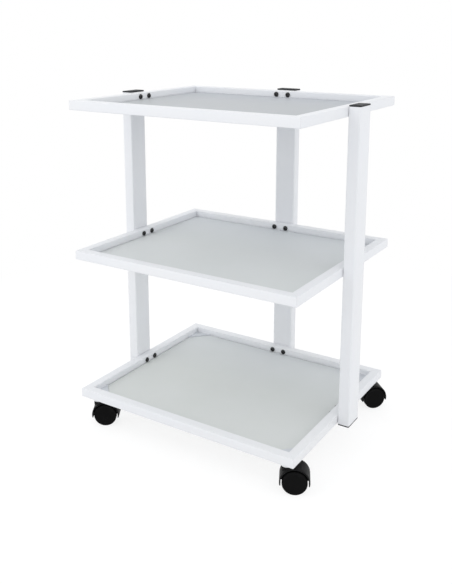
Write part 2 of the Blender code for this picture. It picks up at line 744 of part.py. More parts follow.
def make_meshes():
    """The mesh of each different piece, from its pattern and in its own material."""
    shared = shelf_cutters()
    bottom_frame = frame_pattern("bottom_frame_pattern", shared)
    add_caster_mounts(bottom_frame)
    # The bottom pane's clipped corners stay clear of the gussets' free edges
    clip = GUSSET_LEG + 3 * SEAT_GAP
    white = make_material("White powder coat", (0.83, 0.84, 0.86), 0.35)
    frosted = make_material("Frosted glass", (0.55, 0.60, 0.60), 0.12, transmission=0.2)
    cap_black = make_material("Black cap plastic", (0.022, 0.022, 0.024), 0.4)
    bolt_black = make_material("Black bolt steel", (0.010, 0.010, 0.010), 0.3, metallic=0.6)
    hood_black = make_material("Black hood plastic", (0.028, 0.028, 0.028), 0.45)
    wheel_black = make_material("Black wheel plastic", (0.012, 0.012, 0.012), 0.5)
    zinc = make_material("Zinc-plated steel", (0.55, 0.55, 0.56), 0.35, metallic=1.0)
    patterns = {
        "frame": (frame_pattern("frame_pattern", shared), white),
        "bottom_frame": (bottom_frame, white),
        "glass": (glass_pattern("glass_pattern", 0), frosted),
        "clipped_glass": (glass_pattern("clipped_glass_pattern", clip), frosted),
        "post": (post_pattern(), white),
        "cap": (cap_pattern(), cap_black),
        "bolt": (bolt_pattern(), bolt_black),
        "hood": (hood_pattern(), hood_black),
        "stem": (turned("caster_stem", stem_profile(), ROUND_STEPS["stem"]), zinc),
        "axle": (turned("caster_axle", axle_profile(), ROUND_STEPS["stem"]), zinc),
        "wheel": (turned("caster_wheel", wheel_profile(), ROUND_STEPS["wheel"]), wheel_black),
    }
    return {piece: finished_mesh(*made) for piece, made in patterns.items()}


def build():
    meshes = make_meshes()
    trolley = make_empty("trolley", None, (0, CENTRE_Y, 0))
    for level, shelf in enumerate(SHELVES):
        make_shelf(shelf, level, trolley, meshes)
    for side in POSTS:
        make_post(side, trolley, meshes)
    for corner in CASTERS:
        make_caster(corner, trolley, meshes)


clear_scene()
parts = make_collection("Beauty trolley")
cutters = make_collection("Cutters")
build()
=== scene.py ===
import json
import math
import bpy
import bmesh
from mathutils import Matrix, Vector


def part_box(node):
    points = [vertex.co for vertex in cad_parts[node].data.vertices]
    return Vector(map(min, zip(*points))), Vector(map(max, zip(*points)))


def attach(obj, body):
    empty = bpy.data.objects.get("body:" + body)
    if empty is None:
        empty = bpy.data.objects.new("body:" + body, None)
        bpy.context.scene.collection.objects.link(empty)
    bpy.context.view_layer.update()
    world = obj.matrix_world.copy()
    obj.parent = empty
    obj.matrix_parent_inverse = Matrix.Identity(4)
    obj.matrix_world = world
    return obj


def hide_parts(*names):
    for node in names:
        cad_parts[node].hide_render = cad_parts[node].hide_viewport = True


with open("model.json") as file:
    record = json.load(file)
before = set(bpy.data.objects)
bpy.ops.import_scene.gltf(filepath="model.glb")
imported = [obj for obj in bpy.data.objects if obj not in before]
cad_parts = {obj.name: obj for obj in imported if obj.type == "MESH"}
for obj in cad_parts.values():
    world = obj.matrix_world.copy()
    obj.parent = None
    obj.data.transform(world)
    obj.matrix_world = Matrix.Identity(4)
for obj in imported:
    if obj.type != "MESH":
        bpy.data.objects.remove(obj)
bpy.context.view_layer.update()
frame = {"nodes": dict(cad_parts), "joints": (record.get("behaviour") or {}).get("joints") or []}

scene = bpy.context.scene
joints = {joint["name"]: joint for joint in frame["joints"]}
shelves = ("bottom", "middle", "top")
sides = {"left": Vector((-1, 0, 0)), "back": Vector((0, 1, 0)), "right": Vector((1, 0, 0))}
corners = ("front_left", "front_right", "back_right", "back_left")
noiseMiddle = 0.5  # the level that a noise wavers about
print("frame loaded:", len(frame["nodes"]), "nodes")


# a socket that can be written in sums: 1 - mask * 0.3 adds the Math nodes it needs
class Wire:
    def __init__(self, tree, socket):
        self.tree, self.socket = tree, socket

    def maths(self, how, *values):
        node = self.tree.nodes.new("ShaderNodeMath")
        node.operation = how
        for slot, value in zip(node.inputs, values):
            if isinstance(value, Wire):
                self.tree.links.new(value.socket, slot)
            else:
                slot.default_value = value
        return Wire(self.tree, node.outputs[0])

    def __add__(self, other):
        return self.maths("ADD", self, other)

    def __radd__(self, other):
        return self.maths("ADD", other, self)

    def __sub__(self, other):
        return self.maths("SUBTRACT", self, other)

    def __rsub__(self, other):
        return self.maths("SUBTRACT", other, self)

    def __mul__(self, other):
        return self.maths("MULTIPLY", self, other)

    def __rmul__(self, other):
        return self.maths("MULTIPLY", other, self)

    def __truediv__(self, other):
        return self.maths("DIVIDE", self, other)

    def __rtruediv__(self, other):
        return self.maths("DIVIDE", other, self)

    def __lt__(self, other):
        return self.maths("LESS_THAN", self, other)

    def __gt__(self, other):
        return self.maths("GREATER_THAN", self, other)

    def __abs__(self):
        return self.maths("ABSOLUTE", self)

    def highest(self, other):
        return self.maths("MAXIMUM", self, other)

    def lowest(self, other):
        return self.maths("MINIMUM", self, other)

    def within(self, low, high):
        return self.highest(low).lowest(high)

    def spread(self, gain, drop):  # pulls a noise's narrow band out to the whole of 0 to 1
        return (self * gain - drop).within(0, 1)


# one material and its node tree
class Finish:
    def __init__(self, name, **plain):
        self.material = bpy.data.materials.new(name)
        self.material.use_nodes = True
        self.tree = self.material.node_tree
        self.tree.nodes.clear()
        sockets = {key.replace("_", " "): value for key, value in plain.items()}
        self.shader = self.add("ShaderNodeBsdfPrincipled", {}, sockets)
        self.add("ShaderNodeOutputMaterial", {}, {"Surface": self.out(self.shader, "BSDF")})

    def add(self, kind, settings, sockets):
        node = self.tree.nodes.new(kind)
        for key, value in settings.items():
            setattr(node, key, value)
        for key, value in sockets.items():
            slot = node.inputs[key]
            if isinstance(value, Wire):
                self.tree.links.new(value.socket, slot)
            elif isinstance(value, tuple) and slot.type == "RGBA":
                slot.default_value = (*value, 1)
            else:
                slot.default_value = value
        return node

    def out(self, node, name=0):
        return Wire(self.tree, node.outputs[name])

    def feed(self, **values):
        for key, value in values.items():
            self.tree.links.new(value.socket, self.shader.inputs[key.replace("_", " ")])

    def place(self):  # the object's own coordinates, in metres
        return self.out(self.add("ShaderNodeTexCoord", {}, {}), "Object")

    def axes(self, place):
        split = self.add("ShaderNodeSeparateXYZ", {}, {"Vector": place})
        return [self.out(split, name) for name in "XYZ"]

    def noise(self, place, scale, detail, rough):
        sockets = {"Vector": place, "Scale": scale, "Detail": detail, "Roughness": rough}
        return self.out(self.add("ShaderNodeTexNoise", {}, sockets), "Fac")

    def stretched(self, place, scale):
        return self.out(self.add("ShaderNodeMapping", {}, {"Vector": place, "Scale": scale}))

    def mixed(self, share, first, second, blend="MIX"):
        settings = {"data_type": "RGBA", "blend_type": blend}
        factor, colourA, colourB, result = 0, 6, 7, 2  # where a colour mix has its sockets
        sockets = {factor: share, colourA: first, colourB: second}
        return self.out(self.add("ShaderNodeMix", settings, sockets), result)

    def bumped(self, height, strength, distance):
        sockets = {"Height": height, "Strength": strength, "Distance": distance}
        return self.out(self.add("ShaderNodeBump", {}, sockets), "Normal")


# powder-coated steel: fine orange peel, slow tint drift, the odd speck of dust under the coat
# here and below a noise is (scale, detail, roughness), and a spread is (gain, drop)
powder = {
    "tint": (0.835, 0.845, 0.868), "coolTint": (0.815, 0.832, 0.866), "warmTint": (0.850, 0.850, 0.852),
    "drift": (5.5, 3.0, 0.55), "driftSpread": (2.2, 0.6), "driftShare": 0.5, "patch": (17.0, 2.0, 0.5),
    # plateShadeTint and plateShadeShare: painted shade, the gusset plates' coat made darker and bluer for the
    # shade in the frame's corner recess
    "plateShadeTint": (0.62, 0.645, 0.685), "plateShadeShare": 0.85,
    "speckScale": 260, "speckSize": 0.055, "speckPatch": 0.60, "speckTint": (0.68, 0.68, 0.69),
    "speckShare": 0.5, "speckHeight": 0.4,
    "peel": (620, 2.0, 0.45), "peelHeight": 0.7, "pool": (620 / 6, 1.0, 0.5), "poolHeight": 0.6,
    "peelDepth": 0.00006, "peelStrength": 0.8, "gloss": 0.36, "glossDrift": 0.10, "specular": 0.28,
    "seamWidth": 0.0005, "seamDepth": 0.00025, "seamTint": (0.64, 0.65, 0.67), "seamShare": 0.35,
    "seamNoise": (420.0, 1.0, 0.5), "seamWander": 0.0006, "seamPast": 0.001,
}


def powderCoat(name, seams=None, tint=None):
    coat = Finish(name, Specular_IOR_Level=powder["specular"])
    place = coat.place()
    drift = coat.noise(place, *powder["drift"]).spread(*powder["driftSpread"])
    patch = coat.noise(place, *powder["patch"])
    colour = coat.mixed(drift, powder["coolTint"], powder["warmTint"])
    colour = coat.mixed(powder["driftShare"], powder["tint"], colour)
    # painted shade: a given tint darkens the coat towards grey-blue; only the gusset plates use it
    if tint:
        colour = coat.mixed(powder["plateShadeShare"], colour, tint)
    sockets = {"Vector": place, "Scale": powder["speckScale"]}
    cells = coat.add("ShaderNodeTexVoronoi", {"feature": "F1"}, sockets)
    specks = (coat.out(cells, "Distance") < powder["speckSize"]) * (patch > powder["speckPatch"])
    colour = coat.mixed(specks * powder["speckShare"], colour, powder["speckTint"])
    peel = coat.noise(place, *powder["peel"]) * powder["peelHeight"]
    pool = coat.noise(place, *powder["pool"]) * powder["poolHeight"]
    height = peel + pool + specks * powder["speckHeight"]
    if seams:
        line = mitreLine(coat, place, seams)
        colour = coat.mixed(line * powder["seamShare"], colour, powder["seamTint"])
        height = height - line * (powder["seamDepth"] / powder["peelDepth"])
    rough = (patch - noiseMiddle) * powder["glossDrift"] + powder["gloss"]
    normal = coat.bumped(height, powder["peelStrength"], powder["peelDepth"])
    coat.feed(Base_Color=colour, Roughness=rough, Normal=normal)
    return coat.material


def mitreLine(coat, place, seams):  # the joint across each corner, dressed flush and coated over
    x, y = coat.axes(place)[:2]
    fromEnd = seams["length"] / 2 - abs(x)
    fromSide = seams["depth"] / 2 - abs(y - seams["centre"])
    wander = coat.noise(place, *powder["seamNoise"]) * powder["seamWander"] - powder["seamWander"] / 2
    across = abs(fromEnd - fromSide + wander)
    reach = seams["rail"] + powder["seamPast"]
    return (1 - across / powder["seamWidth"]).within(0, 1) * (fromEnd < reach) * (fromSide < reach)


# satin-etched pane: milky grey-green, cooler towards the back, with a darker greener band at its edge, partly
# the glass edge's own green and partly painted shade where the pane meets the rails
pane = {
    # painted shade and painted reflection: the panes are one glass, but the top pane's body is darker and
    # bluer, for the stronger light it gets from above and the sky it reflects when seen at a grazing angle
    "body": {"top": (0.512, 0.532, 0.543), "middle": (0.690, 0.714, 0.706), "bottom": (0.682, 0.704, 0.685)},
    "cloud": (7.0, 4.0, 0.6), "cloudSpread": (2.4, 0.7), "cloudTint": (1.030, 1.022, 1.034),
    "coolTint": (0.985, 0.990, 1.025),
    "edgeGreenAndShadeTint": (0.500, 0.585, 0.560), "edgeBand": 0.0016, "edgeGreenAndShadeShare": 0.25,
    "grain": (1900, 2.0, 0.6), "grainDepth": 0.000012, "grainStrength": 0.5, "grainGloss": 0.04,
    "smear": (11.0, 3.0, 0.55), "smearStretch": (3.0, 1.0, 1.0), "smearGloss": 0.10,
    "gloss": 0.38, "specular": 0.25, "ior": 1.12,
    "rounding": 0.0006, "roundingTurns": (0.4, 0.9, 1.5708), "cornerClip": 0.0012, "gussetLap": 0.0010,
    "clipGrowth": 0.4142,
}


def frostedGlass(name, body, half, centreY):
    glass = Finish(name, Specular_IOR_Level=pane["specular"], IOR=pane["ior"])
    place = glass.place()
    x, y = glass.axes(place)[:2]
    cloud = glass.noise(place, *pane["cloud"]).spread(*pane["cloudSpread"])
    backwards = ((y - centreY) / half[1]).within(0, 1)
    inset = (half[0] - abs(x)).lowest(half[1] - abs(y - centreY))
    rim = (1 - inset / pane["edgeBand"]).within(0, 1)
    colour = glass.mixed(cloud, body, pane["cloudTint"], "MULTIPLY")
    colour = glass.mixed(backwards, colour, pane["coolTint"], "MULTIPLY")
    # partly painted shade: the band within edgeBand of the outline is mixed towards a darker green
    colour = glass.mixed(rim * pane["edgeGreenAndShadeShare"], colour, pane["edgeGreenAndShadeTint"])
    grain = glass.noise(place, *pane["grain"])
    smear = glass.noise(glass.stretched(place, pane["smearStretch"]), *pane["smear"])
    smearGloss, grainGloss = pane["smearGloss"], pane["grainGloss"]
    rough = pane["gloss"] + (smear - noiseMiddle) * smearGloss + (grain - noiseMiddle) * grainGloss
    normal = glass.bumped(grain, pane["grainStrength"], pane["grainDepth"])
    glass.feed(Base_Color=colour, Roughness=rough, Normal=normal)
    return glass.material


# moulded black plastic: spark-eroded grain, a dry bloom on worn faces, faint flow marks
moulding = {
    "flow": (38.0, 3.0, 0.55), "flowStretch": (1.0, 1.0, 2.5), "flowShare": 0.55, "flowGloss": 0.12,
    "dust": (150.0, 4.0, 0.65), "dustSpread": (3.0, 1.35), "dustShare": 0.35, "shareUnderMask": 0.3,
    "grainStrength": 0.7, "grainGloss": 0.08,
}


def mouldedPlastic(name, look, paintedSheenMask=None):
    plastic = Finish(name, Specular_IOR_Level=look["specular"])
    place = plastic.place()
    grain = plastic.noise(place, *look["grain"])
    flow = plastic.noise(plastic.stretched(place, moulding["flowStretch"]), *moulding["flow"])
    dust = plastic.noise(place, *moulding["dust"]).spread(*moulding["dustSpread"])
    share = (flow * moulding["flowShare"] + dust * moulding["dustShare"]).within(0, 1)
    # painted reflection: a mask, where given, adds a paler painted sheen to the bloom share
    if paintedSheenMask:
        share = (share * moulding["shareUnderMask"] + paintedSheenMask(plastic, place)).within(0, 1)
    colour = plastic.mixed(share, look["tint"], look["bloom"])
    flowGloss, grainGloss = moulding["flowGloss"], moulding["grainGloss"]
    rough = look["gloss"] + (flow - noiseMiddle) * flowGloss + (grain - noiseMiddle) * grainGloss
    normal = plastic.bumped(grain, moulding["grainStrength"], look["grainDepth"])
    plastic.feed(Base_Color=colour, Roughness=rough, Normal=normal)
    return plastic.material


# bare or blackened steel: fine marks across the Z axis, as a lathe leaves them, with blots of wear
steelWear = {
    "stretch": (1.0, 1.0, 14.0), "blot": (210.0, 3.0, 0.6), "blotSpread": (2.0, 0.5),
    "scratchGloss": 0.22, "blotGloss": 0.08, "scratchStrength": 0.35, "scratchDepth": 0.00002,
}


def metal(name, look):
    steel = Finish(name, Metallic=look["metallic"], Specular_IOR_Level=look["specular"])
    place = steel.place()
    lines = steel.noise(steel.stretched(place, steelWear["stretch"]), *look["scratches"])
    blot = steel.noise(place, *steelWear["blot"])
    colour = steel.mixed(blot.spread(*steelWear["blotSpread"]), look["tint"], look["worn"])
    scratchGloss, blotGloss = steelWear["scratchGloss"], steelWear["blotGloss"]
    rough = look["gloss"] + (lines - noiseMiddle) * scratchGloss + (blot - noiseMiddle) * blotGloss
    normal = steel.bumped(lines, steelWear["scratchStrength"], steelWear["scratchDepth"])
    steel.feed(Base_Color=colour, Roughness=rough, Normal=normal)
    return steel.material


def plainMesh(bm, name):
    bmesh.ops.recalc_face_normals(bm, faces=bm.faces)
    mesh = bpy.data.meshes.new(name)
    bm.to_mesh(mesh)
    bm.free()
    return mesh


def finished(mesh, material, sharpAbove):  # smooth shading, with edges sharp above an angle in degrees
    mesh.materials.append(material)
    mesh.shade_smooth()
    mesh.set_sharp_from_angle(angle=math.radians(sharpAbove))
    return mesh


def putPiece(name, mesh, body, nodes, matrix=Matrix.Identity(4)):
    piece = bpy.data.objects.new(name, mesh)
    scene.collection.objects.link(piece)
    piece.matrix_world = matrix
    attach(piece, body)
    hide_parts(*nodes)


# joins loops of equal length into a skin, with a face over each end if it is capped
def skin(bm, loops, capped=False):
    rows = [[bm.verts.new(p) for p in loop] for loop in loops]
    for lower, upper in zip(rows, rows[1:]):
        for i in range(len(lower)):
            j = (i + 1) % len(lower)
            bm.faces.new((lower[i], lower[j], upper[j], upper[i]))
    if capped:
        bm.faces.new(rows[0][::-1])
        bm.faces.new(rows[-1])
    return rows


def roundedRectangle(length, width, radius, z, steps):
    points = []
    for k, (sx, sy) in enumerate(((1, 1), (-1, 1), (-1, -1), (1, -1))):
        cx, cy = sx * (length / 2 - radius), sy * (width / 2 - radius)
        for i in range(steps + 1):
            a = math.radians(90 * (k + i / steps))
            points.append(Vector((cx + radius * math.cos(a), cy + radius * math.sin(a), z)))
    return points


def circleLoop(radius, z, steps):
    turns = [math.tau * i / steps for i in range(steps)]
    return [Vector((radius * math.cos(a), radius * math.sin(a), z)) for a in turns]


def turnedSkin(bm, profile, steps):  # profile of (radius, height), first and last on the axis
    rows = skin(bm, [circleLoop(r, z, steps) for r, z in profile[1:-1]])
    for row, (_, z) in ((rows[0], profile[0]), (rows[-1], profile[-1])):
        tip = bm.verts.new((0, 0, z))
        for i in range(steps):
            bm.faces.new((row[i], row[(i + 1) % steps], tip))


def looseObject(name, loops):  # a closed shape that only a boolean uses
    bm = bmesh.new()
    skin(bm, loops, capped=True)
    return bpy.data.objects.new(name, plainMesh(bm, name))


def boolean(target, cutter, operation):
    scene.collection.objects.link(cutter)
    modifier = target.modifiers.new(operation, "BOOLEAN")
    modifier.operation, modifier.object, modifier.solver = operation, cutter, "EXACT"
    bpy.context.view_layer.update()
    mesh = bpy.data.meshes.new_from_object(target.evaluated_get(bpy.context.evaluated_depsgraph_get()))
    target.modifiers.clear()
    target.data = mesh
    bpy.data.objects.remove(cutter)


# the shelf frames: one square tube mitred into a rectangle, a glass ledge welded inside its foot
shelfFrame = {
    "rail": 0.020, "rounding": 0.0019, "roundingSteps": 5, "sharpAbove": 40,
    "ledgeWidth": 0.012, "ledgeThickness": 0.0015, "ledgeLap": 0.0008, "ledgeSoft": 0.0004,
}
low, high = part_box("top_frame")
outer = high - low
centreY = (low.y + high.y) / 2
seams = {"length": outer.x, "depth": outer.y, "centre": centreY, "rail": shelfFrame["rail"]}
frameCoat = powderCoat("frameCoat", seams)
# the gusset plates' coat: the white powder with painted shade, darker and bluer
plateShadeCoat = powderCoat("plateShadeCoat", None, powder["plateShadeTint"])
postCoat = powderCoat("postCoat")


def sweepAround(bm, section, inset, z):
    # section points are (outwards, up) about the rail's own middle, carried round the frame's four mitres
    rows = []
    for sx, sy in ((-1, -1), (1, -1), (1, 1), (-1, 1)):
        halfX, halfY = outer.x / 2 - inset, outer.y / 2 - inset
        rows.append([bm.verts.new((sx * (halfX + u), centreY + sy * (halfY + u), z + v)) for u, v in section])
    for k in range(4):
        a, b = rows[k], rows[(k + 1) % 4]
        for i in range(len(section)):
            j = (i + 1) % len(section)
            bm.faces.new((a[i], a[j], b[j], b[i]))


def buildFrame(shelf):
    bm = bmesh.new()
    rail, top = shelfFrame["rail"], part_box(f"{shelf}_frame")[1].z
    foot = top - rail
    tube = roundedRectangle(rail, rail, shelfFrame["rounding"], 0, shelfFrame["roundingSteps"])
    sweepAround(bm, [(p.x, p.y) for p in tube], rail / 2, foot + rail / 2)
    half, t = shelfFrame["ledgeWidth"] / 2, shelfFrame["ledgeThickness"]
    lap, soft = shelfFrame["ledgeLap"], shelfFrame["ledgeSoft"]
    ledge = [(half + lap, 0), (half + lap, t), (soft - half, t), (-half, t - soft), (-half, 0)]
    sweepAround(bm, ledge, rail + half, foot)
    if shelf == "bottom":
        for index, corner in enumerate(corners):
            addCasterMount(bm, corner, index, foot, top)
    mesh = finished(plainMesh(bm, f"{shelf}FrameMesh"), frameCoat, shelfFrame["sharpAbove"])
    if shelf == "bottom":
        mesh.materials.append(plateShadeCoat)
    putPiece(f"{shelf}ShelfFrame", mesh, "trolley", [f"{shelf}_frame"])


# the weld beads along a gusset: hand-laid, a short run of overlapping puddles
bead = {
    "radius": 0.000992, "step": 0.0009, "fewest": 6, "sides": 8, "swell": 0.16, "swellPace": 2.1,
    "ripple": 0.07, "ripplePace": 5.3, "taper": 6, "tip": 0.25, "sink": 0.0004, "fromTip": 0.003,
    "fromCorner": 0.006, "otherSeed": 5,
}


def weldBead(bm, start, end, seed):
    run = end - start
    count = max(bead["fewest"], int(run.length / bead["step"]))
    along = run.normalized()
    flat = Vector((-along.y, along.x, 0))
    loops = []
    for i in range(count + 1):
        share = i / count
        swell = bead["swell"] * math.sin(i * bead["swellPace"] + seed)
        ripple = bead["ripple"] * math.sin(i * bead["ripplePace"] + 2 * seed)
        taper = min(1, bead["taper"] * share, bead["taper"] * (1 - share)) * (1 - bead["tip"]) + bead["tip"]
        radius = bead["radius"] * (1 + swell + ripple) * taper
        middle = start + run * share
        turns = [math.tau * k / bead["sides"] for k in range(bead["sides"])]
        rises = [Vector((0, 0, radius * math.sin(a))) for a in turns]
        loops.append([middle + flat * radius * math.cos(a) + rise for a, rise in zip(turns, rises)])
    skin(bm, loops, capped=True)


# what carries a caster: a gusset plate between the rails, a lug under it and a round socket below
mount = {
    "gussetLeg": 0.042, "gussetThickness": 0.003, "gussetDrop": 0.012, "gussetSoft": 0.0007,
    "gussetLap": 0.001, "gussetMiddle": 0.3, "gussetPull": 1.4, "gussetRim": (0.3, 0.35),
    "socketDiameter": 0.027, "boreDiameter": 0.0116, "socketDrop": 0.0118, "boreRise": 0.006, "steps": 64,
    "lugWall": 0.0021, "lugLap": 0.0007, "lugFoot": 0.0008, "lugHead": 0.0006,
}


def addCasterMount(bm, corner, index, foot, top):
    halfX, halfY = outer.x / 2 - shelfFrame["rail"], outer.y / 2 - shelfFrame["rail"]
    stem = Vector(joints[f"{corner}_swivel_turn"]["pos_m"])
    sx, sy = math.copysign(1, stem.x), math.copysign(1, stem.y - centreY)
    plateTop = top - mount["gussetDrop"]
    plateFoot = plateTop - mount["gussetThickness"]

    def at(x, y, z):  # a place in this corner, counted outwards from the frame's middle
        return Vector((sx * x, centreY + sy * y, z))

    # the plate's outline, pulled in at its upper and lower edges
    leg, soft, lap = mount["gussetLeg"], mount["gussetSoft"], mount["gussetLap"]
    outline = [Vector(p) for p in (
        (halfX + lap, halfY + lap), (halfX - leg, halfY + lap), (halfX - leg, halfY - lap),
        (halfX - lap, halfY - leg), (halfX + lap, halfY - leg))]
    toMiddle = leg * mount["gussetMiddle"]
    middle = Vector((halfX - toMiddle, halfY - toMiddle))
    down, inwards = (soft * share for share in mount["gussetRim"])
    levels = ((plateFoot, soft), (plateFoot + soft, 0), (plateTop - soft, 0),
              (plateTop - down, inwards), (plateTop, soft))
    loops = []
    for z, inset in levels:
        pulled = [p - (p - middle).normalized() * inset * mount["gussetPull"] for p in outline]
        loops.append([at(p.x, p.y, z) for p in pulled])
    before = set(bm.faces)
    skin(bm, loops, capped=True)
    # the gusset faces take the second material, the plate coat with its painted shade
    for face in set(bm.faces) - before:
        face.material_index = 1

    sink, fromTip, fromCorner = bead["sink"], bead["fromTip"], bead["fromCorner"]
    edgeX, firstX, lastX = halfX - sink, halfX - leg + fromTip, halfX - fromCorner
    edgeY, firstY, lastY = halfY - sink, halfY - leg + fromTip, halfY - fromCorner
    weldBead(bm, at(edgeX, firstY, plateTop), at(edgeX, lastY, plateTop), index)
    weldBead(bm, at(firstX, edgeY, plateTop), at(lastX, edgeY, plateTop), index + bead["otherSeed"])

    # the socket, bored for the caster's stem: bore, mouth, rounded rim, wall and the bead round its root
    radius, bore = mount["socketDiameter"] / 2, mount["boreDiameter"] / 2
    drop = foot - mount["socketDrop"]
    profile = [
        (bore, foot + mount["boreRise"]), (bore, drop + 0.0006), (bore + 0.0006, drop),
        (radius - 0.0011, drop), (radius - 0.0003, drop + 0.0004), (radius, drop + 0.0012),
        (radius, foot - 0.0018), (radius + 0.0004, foot - 0.0008), (radius + 0.0013, foot - 0.0002),
        (radius + 0.0016, foot + 0.001)]
    below = Vector((stem.x, stem.y, 0))
    skin(bm, [[below + p for p in circleLoop(r, z, mount["steps"])] for r, z in profile])

    # the lug fills the corner between socket and gusset
    reach = bore + mount["lugWall"]
    x0, x1 = abs(stem.x) - reach, halfX + mount["lugLap"]
    y0, y1 = abs(stem.y - centreY) - reach, halfY + mount["lugLap"]
    block = ((x0, y0), (x1, y0), (x1, y1), (x0, y1))
    levels = (foot + mount["lugFoot"], plateFoot + mount["lugHead"])
    skin(bm, [[at(x, y, z) for x, y in block] for z in levels], capped=True)


for shelf in shelves:
    buildFrame(shelf)
print("shelf frames built")


# the panes: rounded polished edges, the bottom one with its corners clipped round the gussets
def paneOutline(x, y, clip, inset):
    x, y = x - inset, y - inset
    c = clip + inset * pane["clipGrowth"] if clip else pane["cornerClip"]
    return [(x, -y + c), (x, y - c), (x - c, y), (-x + c, y),
            (-x, y - c), (-x, -y + c), (-x + c, -y), (x - c, -y)]


def buildPane(shelf):
    lowest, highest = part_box(f"{shelf}_glass")
    halfX, halfY = (highest.x - lowest.x) / 2, (highest.y - lowest.y) / 2
    clip = mount["gussetLeg"] - pane["gussetLap"] if shelf == "bottom" else 0
    r = pane["rounding"]
    levels = [(lowest.z, r)]
    levels += [(lowest.z + r * (1 - math.cos(a)), r * (1 - math.sin(a))) for a in pane["roundingTurns"]]
    levels += [(lowest.z + highest.z - z, inset) for z, inset in reversed(levels)]
    bm = bmesh.new()
    loops = []
    for z, inset in levels:
        loops.append([Vector((x, centreY + y, z)) for x, y in paneOutline(halfX, halfY, clip, inset)])
    skin(bm, loops, capped=True)
    # each pane takes its shelf's body colour, the top one with painted shade and painted reflection
    material = frostedGlass(f"{shelf}PaneGlass", pane["body"][shelf], (halfX, halfY), centreY)
    mesh = finished(plainMesh(bm, f"{shelf}PaneMesh"), material, shelfFrame["sharpAbove"])
    putPiece(f"{shelf}GlassPane", mesh, "trolley", [f"{shelf}_glass"])


for shelf in shelves:
    buildPane(shelf)
print("glass panes built")


# posts: drawn rectangular tube, soft corners, open ends under the caps
post = {
    "width": 0.050, "out": 0.025, "wall": 0.0015, "rounding": 0.0030, "cornerSteps": 8, "sharpAbove": 40,
    "joinWithin": 0.00001,
}


def facing(way):  # turns a piece so that its own +Y points out of the trolley
    return Matrix.Rotation(math.atan2(-way.x, way.y), 4, "Z")


def buildPost(side, way):
    lowest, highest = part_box(f"{side}_post")
    half = (highest - lowest).z / 2
    width, out, r, wall, steps = (post[key] for key in ("width", "out", "rounding", "wall", "cornerSteps"))
    outside = [roundedRectangle(width, out, r, z, steps) for z in (-half, half)]
    inside = [roundedRectangle(width - 2 * wall, out - 2 * wall, r - wall, z, steps) for z in (half, -half)]
    bm = bmesh.new()
    skin(bm, [*outside, *inside, outside[0]])
    bmesh.ops.remove_doubles(bm, verts=bm.verts, dist=post["joinWithin"])
    mesh = finished(plainMesh(bm, f"{side}PostMesh"), postCoat, post["sharpAbove"])
    matrix = Matrix.Translation((lowest + highest) / 2) @ facing(way)
    putPiece(f"{side}PostTube", mesh, "trolley", [f"{side}_post"], matrix)


for side, way in sides.items():
    buildPost(side, way)
print("posts built")


# end caps: a thin flange with a raised chamfered panel, and the plug's root below it
cap = {
    "length": 0.050, "width": 0.025, "rounding": 0.0030, "leastRounding": 0.0004, "cornerSteps": 8,
    "flange": 0.0026, "softEdge": 0.0006, "border": 0.0045, "rise": 0.0006, "slope": 0.0009, "gap": 0.0003,
    "panelRounding": 0.0012, "panelSoft": 0.0002, "plug": 0.0130, "plugInset": 0.0018,
    "plugTipInset": 0.0024, "plugTaper": 0.001, "roundingLoss": 0.6, "sharpAbove": 50,
    # bloom: the caps' dust bloom colour, also the colour of the painted sheen on their panels
    "tint": (0.020, 0.021, 0.023), "bloom": (0.043, 0.045, 0.048), "gloss": 0.52, "specular": 0.18,
    "grain": (1500.0, 3.0, 0.6), "grainDepth": 0.00004, "paintedPanelSheen": 0.62, "panelFade": 0.0015,
}


def paintedPanelSheen(plastic, place):  # painted reflection: the raised panel is painted paler than its border, as the sky's sheen on its face
    x, y, z = plastic.axes(place)
    insideX = ((cap["length"] / 2 - cap["border"] - abs(x)) / cap["panelFade"]).within(0, 1)
    insideY = ((cap["width"] / 2 - cap["border"] - abs(y)) / cap["panelFade"]).within(0, 1)
    return insideX * insideY * (z > cap["flange"] + cap["panelSoft"]) * cap["paintedPanelSheen"]


def buildCapMesh():
    f, s, b, r = cap["flange"], cap["softEdge"], cap["border"], cap["rounding"]

    def rim(inset, z, radius=r):
        length, width = cap["length"] - 2 * inset, cap["width"] - 2 * inset
        rounding = max(radius - inset * cap["roundingLoss"], cap["leastRounding"])
        return roundedRectangle(length, width, rounding, z, cap["cornerSteps"])

    plug, side = cap["plug"], cap["plugInset"]
    loops = [rim(cap["plugTipInset"], -plug), rim(side, cap["plugTaper"] - plug), rim(side, 0), rim(s, 0)]
    turns = [math.radians(a) for a in (0, 30, 60, 90)]
    for a in turns[1:]:
        loops.append(rim(s * (1 - math.sin(a)), s * (1 - math.cos(a))))
    for a in turns:
        loops.append(rim(s * (1 - math.cos(a)), f - s * (1 - math.sin(a))))
    panelRadius, soft = r + cap["panelRounding"], cap["panelSoft"]
    crest, panelTop = b + cap["slope"], f + cap["rise"]
    loops.append(rim(b - soft, f, panelRadius))
    loops.append(rim(b + soft / 2, f + soft / 2, panelRadius))
    loops.append(rim(crest - soft, panelTop - soft, panelRadius))
    loops.append(rim(crest + soft, panelTop, panelRadius))
    bm = bmesh.new()
    skin(bm, loops, capped=True)
    capPlastic = mouldedPlastic("capPlastic", cap, paintedPanelSheen)
    return finished(plainMesh(bm, "capMesh"), capPlastic, cap["sharpAbove"])


capMesh = buildCapMesh()
upsideDown = Matrix.Rotation(math.pi, 4, "Y")
for side, way in sides.items():
    lowest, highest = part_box(f"{side}_post")
    middle = (lowest + highest) / 2
    over = Matrix.Translation((middle.x, middle.y, highest.z + cap["gap"])) @ facing(way)
    under = Matrix.Translation((middle.x, middle.y, lowest.z - cap["gap"])) @ facing(way) @ upsideDown
    putPiece(f"{side}TopCap", capMesh, "trolley", [f"{side}_post_top_cap"], over)
    putPiece(f"{side}BottomCap", capMesh, "trolley", [f"{side}_post_bottom_cap"], under)
print("post caps built")


